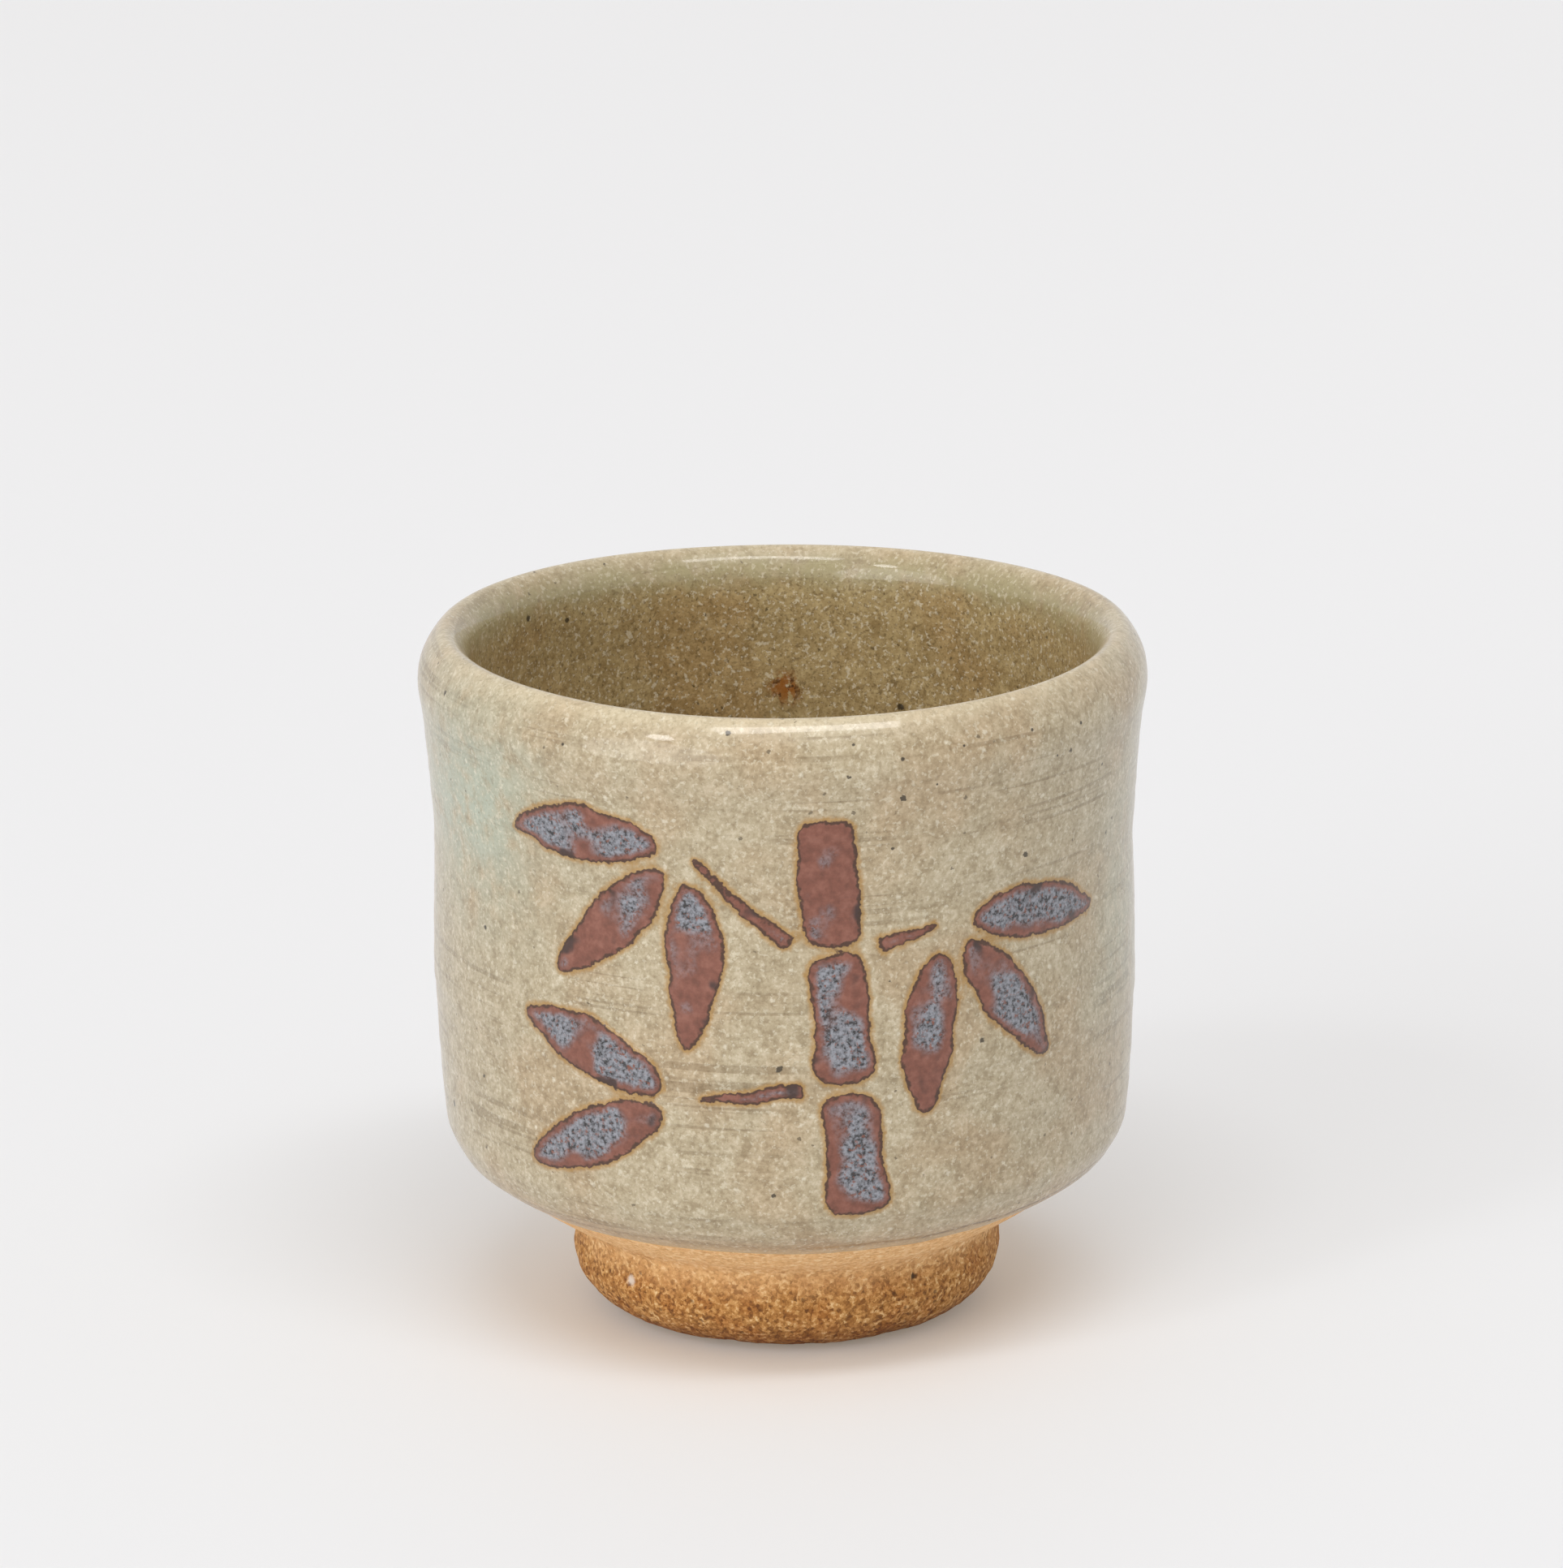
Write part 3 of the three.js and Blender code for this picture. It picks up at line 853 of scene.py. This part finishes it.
def glaze_depth(s, base):
    """Glaze that is green where it pools and pale cream where it runs sparse over the lip, with a painted
    sheen at the front and back. It is warm towards its lower edge and paler there with painted light, and
    darkened in the trimming groove with painted shade.
    """
    edge = s.attribute("edge")
    base = s.shade(base, 0.9, s.step(edge, 9.0, 1.5), "f3d6b4")
    patchy = s.step(s.noise(0.5, detail=3.0, roughness=0.6, shift=9), 0.2, 0.6)
    base = s.tint(base, 0.75, s.math("MULTIPLY", s.attribute("pool"), patchy), "adb8a6")
    base = s.tint(base, 0.8, s.math("MULTIPLY", s.attribute("lip_pool"), patchy), "a59a70")
    # Pale crest of sparse glaze on the lip, with painted sheen at the front and back.
    base = s.tint(base, 0.48, s.attribute("thin_glaze_and_painted_sheen"), "eadab8")
    # Pale cream at the glaze's lower edge: partly its own colour, partly painted light that lifts the shade
    # where the thinning edge turns downward.
    base = s.tint(base, 0.75, s.step(edge, 4.5, 1.0), "e4caa2")
    # Painted shade: a dark broken line in the trimming groove, where shade falls.
    broken = s.step(s.noise(0.8, roughness=0.6, shift=77), 0.3, 0.5)
    base = s.shade(base, 0.95, s.math("MULTIPLY", s.attribute("painted_groove_shade"), broken), "6f5a3c")
    scallops = s.math("MULTIPLY_ADD", s.noise(1.5, roughness=0.6, shift=25), -2.4, edge)
    return s.tint(base, 0.85, s.step(scallops, 0.0, -0.5), "dfab70")


def glaze_grains(s, base, inside):
    """Brown and cream grains and dark specks in the glaze, most of them stronger inside."""
    brown = s.step(s.noise(2.3, roughness=0.6, shift=61), 0.57, 0.67)
    base = s.tint(base, s.math("MULTIPLY_ADD", inside, 0.4, 0.25), brown, "7a6644")
    cream = s.step(s.noise(2.6, roughness=0.6, shift=53), 0.56, 0.65)
    base = s.tint(base, s.math("MULTIPLY_ADD", inside, 0.25, 0.35), cream, "e4dac1")
    pale = s.specks(scale=1.3, share=0.45, size=0.4, softness=0.25)
    base = s.tint(base, s.math("MULTIPLY_ADD", inside, -0.2, 0.45), pale, "ebe2cc")
    grit = s.specks(scale=1.5, share=0.35, size=0.24, softness=0.12, shift=83)
    base = s.tint(base, 0.75, s.math("MULTIPLY", grit, inside), "4a3c26")
    dust = s.step(s.noise(4.6, detail=1.0, shift=73), 0.56, 0.68)
    base = s.tint(base, s.math("MULTIPLY_ADD", inside, 0.3, 0.1), dust, "6b5737")
    fine_specks = s.specks(scale=0.9, share=0.3, size=0.2, softness=0.08, shift=31)
    base = s.tint(base, 0.75, fine_specks, "5a4c35")
    iron_specks = s.specks(scale=0.3, share=0.75, size=0.1, softness=0.03, shift=47)
    return s.tint(base, 0.9, iron_specks, "3a3020")


def glaze_marks(s, base):
    """The iron flecks and the rust spot whose places are given."""
    flecks = [on_coat(mark, False) for mark in OUTER_FLECKS] + [on_coat(mark, True) for mark in INNER_FLECKS]
    base = s.tint(base, 0.9, s.spots(flecks, softness=0.5), "2e2519")
    spot = s.spots([on_coat(RUST_SPOT, True)], softness=0.8)
    rust = s.math("MULTIPLY", spot, s.step(s.noise(1.7), 0.36, 0.5))
    base = s.tint(base, 0.9, rust, "96591b")
    burnt = s.math("MULTIPLY", rust, s.step(s.noise(2.6, shift=3), 0.5, 0.6))
    return s.tint(base, 0.8, burnt, "33200f")


def iron_fill(s, distance):
    """The colour inside a stroke by the distance from its edge, and the share of grey bloom there."""
    fill = s.noise(1.3, detail=3.0, roughness=0.6, shift=12)
    rust = s.ramp(fill, [(0.3, "6c3f2f"), (0.5, "7e4b3a"), (0.7, "8d5a49")])
    thick = s.math("MULTIPLY_ADD", distance, -0.05, s.noise(0.16, shift=14))
    bloom = s.math("MULTIPLY", s.step(thick, 0.5, 0.63), s.step(distance, -0.25, -0.9))
    bloom = s.math("MULTIPLY", bloom, s.step(s.noise(2.4, roughness=0.7, shift=19), 0.28, 0.47))
    crystals = s.noise(2.8, roughness=0.65, shift=23)
    grey = s.ramp(crystals, [(0.36, "333131"), (0.44, "68686c"), (0.62, "919196")])
    rust = s.mix(bloom, rust, grey)
    burnt = s.math("MULTIPLY", s.step(s.noise(0.28, shift=29), 0.58, 0.66), s.step(distance, -1.6, -0.4))
    rust = s.tint(rust, 0.85, burnt, "2f231f")
    rim = s.math("MULTIPLY_ADD", s.noise(1.8, detail=1.0, shift=35), 0.5, distance)
    return s.tint(rust, 0.85, s.step(rim, -0.06, 0.14), "3c2614"), bloom


def iron_over(s, base):
    """Iron brushwork with an amber halo over the glaze, and the share of grey bloom in it."""
    ragged = s.math("MULTIPLY_ADD", s.noise(0.9, roughness=0.6, shift=3), 0.6, -0.3)
    teeth = s.math("MULTIPLY_ADD", s.noise(2.8, detail=1.0, shift=8), 0.36, -0.18)
    distance = s.math("ADD", s.attribute("iron"), s.math("ADD", ragged, teeth))
    base = s.tint(base, 0.75, s.step(distance, 0.5, 0.05), "a57a34")
    rust, bloom = iron_fill(s, distance)
    return s.mix(s.step(distance, 0.05, -0.05), base, rust), bloom


def glaze_material(name):
    """Speckled ash glaze, painted with iron where the strokes lie, under a clear gloss."""
    s = Shader(name)
    inside = s.attribute("inside")
    base, grain, lined = glaze_ground(s, inside)
    base = glaze_depth(s, base)
    base = glaze_grains(s, base, inside)
    base = glaze_marks(s, base)
    painted, bloom = iron_over(s, base)
    s.set(s.surface.inputs["Base Color"], painted)
    roughness = s.math("MULTIPLY_ADD", grain, 0.2, 0.3)
    s.set(s.surface.inputs["Roughness"], s.math("MULTIPLY_ADD", bloom, 0.2, roughness))
    s.set(s.surface.inputs["Specular IOR Level"], 0.3)
    s.set(s.surface.inputs["Coat Weight"], 0.55)
    s.set(s.surface.inputs["Coat Roughness"], 0.06)
    relief = s.math("MULTIPLY_ADD", lined, -0.3, s.math("MULTIPLY", grain, 0.6))
    s.set(s.surface.inputs["Normal"], s.bump(relief, 0.05))
    return s.material


def clay_material():
    """Coarse bare stoneware: sandy grains, dark pits, smooth orange clay towards the glaze painted lighter as
    if lit, and painted shade near the floor.
    """
    s = Shader("bare_clay")
    sand = s.cells(scale=3.3, shift=5)[0]
    lumps = s.noise(2.2, detail=3.0, roughness=0.65)
    grain = s.math("MULTIPLY_ADD", sand, 0.26, s.math("MULTIPLY", lumps, 0.74))
    dark, brown, tan = (0.3, "744820"), (0.42, "a16c33"), (0.52, "bd8647")
    light, pale = (0.62, "d6a464"), (0.74, "f0d09c")
    base = s.ramp(grain, [dark, brown, tan, light, pale])
    base = s.shade(base, 0.5, s.step(s.noise(0.45, shift=7), 0.42, 0.65), "ead0ae")
    # Smoother clay near the glaze, in lighter colours that paint light onto the top of the foot.
    smooth = s.ramp(grain, [(0.3, "dda669"), (0.5, "f0be82"), (0.7, "f9d6a4")])
    smooth_and_painted_light = s.attribute("smooth_and_painted_light")
    base = s.mix(s.math("MULTIPLY", smooth_and_painted_light, 0.85), base, smooth)
    # Painted shade: darker towards the floor.
    base = s.shade(base, 0.7, s.attribute("painted_floor_shade"), "b28a60")
    pits = s.specks(scale=1.2, share=0.4, size=0.3, softness=0.15, shift=11)
    pits = s.math("MULTIPLY", pits, s.step(smooth_and_painted_light, 0.7, 0.2))
    base = s.tint(base, 0.65, pits, "5d3815")
    base = s.tint(base, 0.9, s.spots([on_foot(FOOT_PIT)], softness=0.5), "42301f")
    base = s.tint(base, 0.8, s.spots([on_foot(QUARTZ_GRAIN)], softness=0.8), "eadfd2")
    s.set(s.surface.inputs["Base Color"], base)
    s.set(s.surface.inputs["Roughness"], 0.9)
    relief = s.math("MULTIPLY_ADD", pits, -0.5, grain)
    s.set(s.surface.inputs["Normal"], s.bump(relief, 0.16))
    return s.material


def paper_material():
    """Cool pale paper with a faint warm glow for camera and gloss, which warms the shadow on it."""
    s = Shader("pale_paper")
    s.set(s.surface.inputs["Base Color"], colour("ebf0f7"))
    s.set(s.surface.inputs["Roughness"], 0.6)
    glow = s.node("ShaderNodeEmission", {"Color": colour("ffead0"), "Strength": 1.0}).outputs[0]
    ray = s.node("ShaderNodeLightPath").outputs
    seen = s.math("MAXIMUM", ray["Is Camera Ray"], ray["Is Glossy Ray"])
    mixed = s.node("ShaderNodeMixShader", {0: s.math("MULTIPLY", seen, PAPER_GLOW)})
    s.set(mixed.inputs[1], s.surface.outputs[0])
    s.set(mixed.inputs[2], glow)
    s.set(s.tree.nodes["Material Output"].inputs["Surface"], mixed.outputs[0])
    return s.material


# Pieces

glaze = glaze_material("speckled_glaze")
iron = glaze_material("iron_brushwork")
bare_clay = clay_material()

glaze_coat = build_glaze_coat()
glaze_coat.data.materials.append(glaze)
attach(glaze_coat, "root")
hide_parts("outer_glaze", "inner_glaze")

for node in STROKE_NODES:
    stroke = build_stroke(node)
    stroke.data.materials.append(iron)
    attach(stroke, "root")
    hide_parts(node)

for piece, node in ((build_foot(), "foot"), (build_body(), "cup_body")):
    piece.data.materials.append(bare_clay)
    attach(piece, "root")
    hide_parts(node)


# Stage: floor, light and camera

def add_floor():
    """A wide sheet of paper under the cup."""
    mesh = bpy.data.meshes.new("floor")
    half = FLOOR_HALF_WIDTH * MM
    corners = [(-half, -half, 0), (half, -half, 0), (half, half, 0), (-half, half, 0)]
    mesh.from_pydata(corners, [], [(0, 1, 2, 3)])
    floor = bpy.data.objects.new("floor", mesh)
    floor.data.materials.append(paper_material())
    bpy.context.scene.collection.objects.link(floor)


def add_sun(name, azimuth, elevation, spread, strength):
    """A far, wide lamp in a direction given in degrees, so that the floor is lit evenly."""
    light = bpy.data.lights.new(name, "SUN")
    light.angle = math.radians(spread)
    light.energy = strength
    lamp = bpy.data.objects.new(name, light)
    lamp.rotation_euler = (math.radians(90 - elevation), 0, math.radians(azimuth))
    bpy.context.scene.collection.objects.link(lamp)


def add_softbox(name, azimuth, elevation, width, height, strength):
    """A far lamp with a long shape, whose place and size are in degrees as seen from the cup."""
    distance = SOFTBOX_DISTANCE * MM
    light = bpy.data.lights.new(name, "AREA")
    light.shape = "RECTANGLE"
    light.size = 2 * distance * math.tan(math.radians(width / 2))
    light.size_y = 2 * distance * math.tan(math.radians(height / 2))
    light.energy = strength * math.pi * distance**2
    lamp = bpy.data.objects.new(name, light)
    turned, raised = math.radians(azimuth), math.radians(elevation)
    away = distance * math.cos(raised)
    lamp.location = (away * math.sin(turned), -away * math.cos(turned), distance * math.sin(raised))
    lamp.rotation_euler = (math.pi / 2 - raised, 0, turned)
    lamp.visible_camera = False
    bpy.context.scene.collection.objects.link(lamp)


def add_world(light, backdrop):
    """White surroundings that light the cup at one strength, and show in its gloss at another."""
    world = bpy.data.worlds.new("studio")
    world.use_nodes = True
    nodes = world.node_tree.nodes
    link = world.node_tree.links.new
    ray = nodes.new("ShaderNodeLightPath").outputs
    seen = nodes.new("ShaderNodeMath")
    seen.operation = "MAXIMUM"
    link(ray["Is Camera Ray"], seen.inputs[0])
    link(ray["Is Glossy Ray"], seen.inputs[1])
    strength = nodes.new("ShaderNodeMapRange")
    strength.inputs["To Min"].default_value = light
    strength.inputs["To Max"].default_value = backdrop
    link(seen.outputs[0], strength.inputs["Value"])
    background = nodes["Background"]
    background.inputs["Color"].default_value = (1.0, 1.0, 1.0, 1.0)
    link(strength.outputs["Result"], background.inputs["Strength"])
    bpy.context.scene.world = world


def add_camera():
    """A camera in the place from which the photograph was taken."""
    data = bpy.data.cameras.new("camera")
    data.sensor_fit = "VERTICAL"
    data.sensor_height = SENSOR_HEIGHT
    data.lens = SENSOR_HEIGHT * FOCAL_LENGTH_PX / FRAME_HEIGHT_PX
    camera = bpy.data.objects.new("camera", data)
    tilt = math.radians(CAMERA_ELEVATION)
    sideways = -AXIS_RIGHT_OF_CENTRE_PX / FOCAL_LENGTH_PX * CAMERA_DISTANCE
    away = CAMERA_DISTANCE * math.cos(tilt)
    up = CAMERA_TARGET_HEIGHT + CAMERA_DISTANCE * math.sin(tilt)
    camera.location = (sideways * MM, -away * MM, up * MM)
    level = Euler((math.pi / 2 - tilt, 0, 0)).to_matrix()
    roll = Matrix.Rotation(math.radians(CAMERA_ROLL), 3, "Z")
    camera.rotation_euler = (level @ roll).to_euler()
    bpy.context.scene.collection.objects.link(camera)
    bpy.context.scene.camera = camera


add_floor()
add_world(light=0.55, backdrop=0.83)
add_softbox("strip", azimuth=12, elevation=65, width=42, height=9, strength=0.95)
add_sun("key", azimuth=12, elevation=65, spread=40, strength=0.33)
add_sun("window", azimuth=-42, elevation=13, spread=44, strength=1.15)
add_sun("glint", azimuth=-45, elevation=42, spread=8, strength=0.2)
add_camera()
bpy.context.scene.view_settings.view_transform = "Standard"
